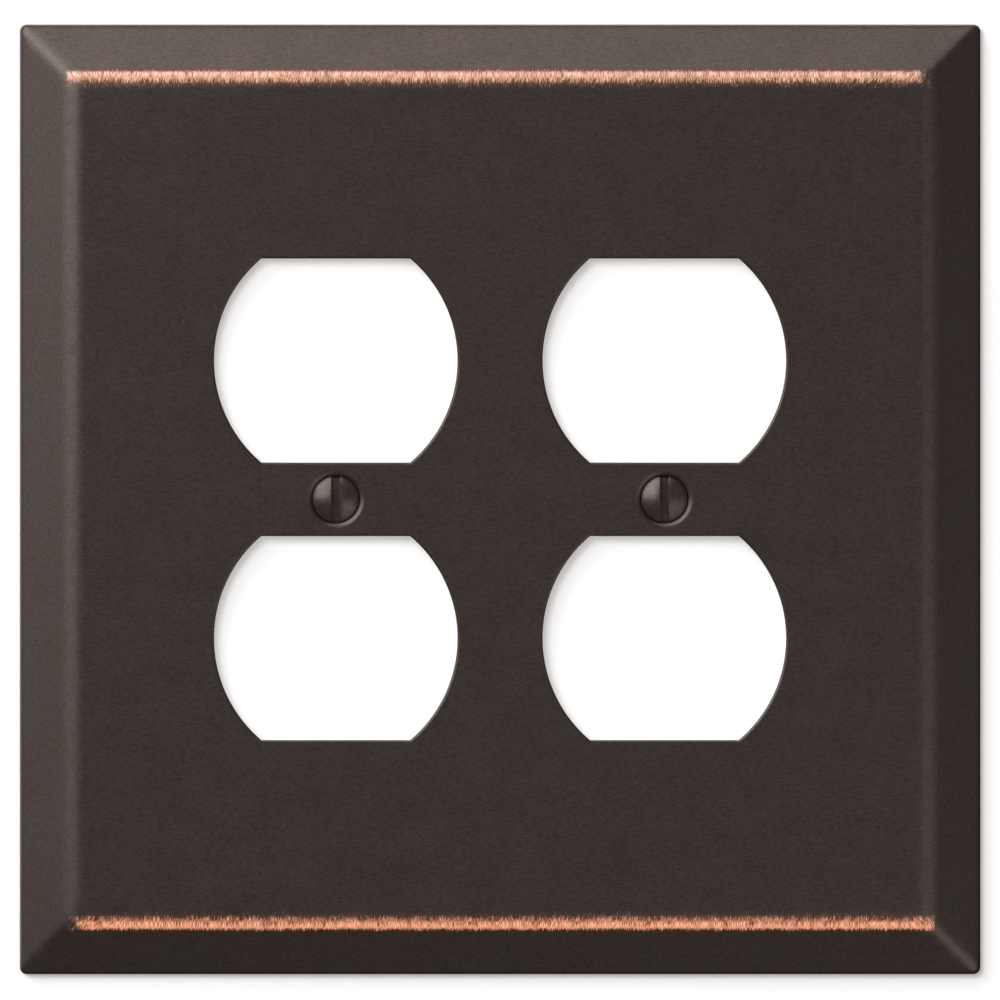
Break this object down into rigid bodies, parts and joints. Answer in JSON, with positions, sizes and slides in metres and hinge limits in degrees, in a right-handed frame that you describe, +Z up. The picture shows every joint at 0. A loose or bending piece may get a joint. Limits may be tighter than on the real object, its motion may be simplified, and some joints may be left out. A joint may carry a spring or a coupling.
{
  "type": "wall plate cover",
  "caption": "Square two-gang duplex receptacle cover pressed from sheet steel, with a sloping border, a short skirt and slotted oval-head screws in drawn dimples.",
  "frame": {"origin": "centre of the plate in the plane of the wall, on the line between the two screws", "axes": "+Z up, +X to the right as seen from the room, +Y into the wall; the face looks towards -Y"},
  "size_m": [0.135, 0.0137, 0.1334],
  "materials": {
    "aged_bronze_plate": "satin aged bronze on steel, brushed, rubbed to copper at the top and bottom folds",
    "aged_bronze_screw": "satin aged bronze on steel"
  },
  "bodies": {
    "plate": {"faceplate": "aged_bronze_plate"},
    "left_screw_body": {"left_screw": "aged_bronze_screw"},
    "right_screw_body": {"right_screw": "aged_bronze_screw"}
  },
  "joints": [
    {"name": "left_screw_turn", "type": "hinge", "parent": "plate", "child": "left_screw_body", "pos_m": [-0.02302, -0.00635, 0], "axis": [0, 1, 0], "continuous": true},
    {"name": "right_screw_turn", "type": "hinge", "parent": "plate", "child": "right_screw_body", "pos_m": [0.02302, -0.00635, 0], "axis": [0, 1, 0], "continuous": true}
  ]
}
